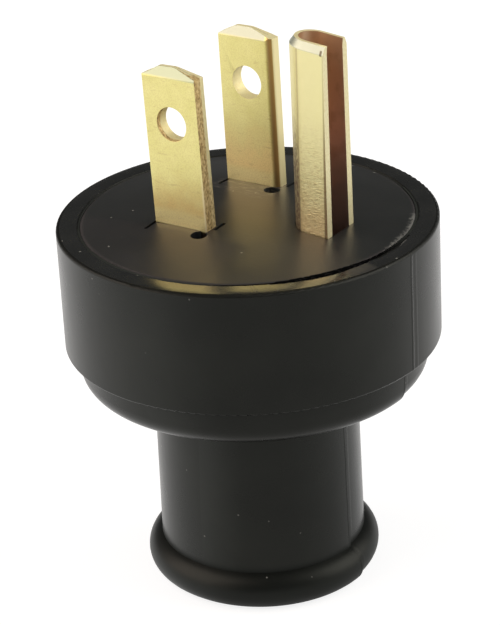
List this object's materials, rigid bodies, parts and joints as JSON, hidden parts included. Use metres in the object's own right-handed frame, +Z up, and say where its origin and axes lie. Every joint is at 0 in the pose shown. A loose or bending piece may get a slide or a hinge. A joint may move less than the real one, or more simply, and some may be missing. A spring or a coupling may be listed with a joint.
{
  "type": "rubber grounded plug",
  "caption": "Rewirable rubber cord plug: a round drum with a crowned contact carrier, two folded blades and a channel ground prong, and a collared neck for the cord.",
  "frame": {"origin": "centre of the flat cord end that the plug stands on", "axes": "+Z up along the plug's axis towards the prongs, +X towards the ground prong, +Y from the line blade to the neutral blade"},
  "size_m": [0.0384, 0.0384, 0.0594],
  "materials": {
    "shell_rubber": "smooth moulded black rubber with a dull sheen",
    "carrier_rubber": "hard black moulded rubber, satin",
    "prong_brass": "pale rolled brass, lightly brushed",
    "screw_brass": "bright turned brass",
    "screw_nickel": "bright nickel plate",
    "screw_green": "green dyed plate"
  },
  "bodies": {
    "root": {"rubber_shell": "shell_rubber", "contact_carrier": "carrier_rubber", "line_blade": "prong_brass", "neutral_blade": "prong_brass", "ground_prong": "prong_brass", "line_screw": "screw_brass", "neutral_screw": "screw_nickel", "ground_screw": "screw_green"}
  },
  "joints": []
}
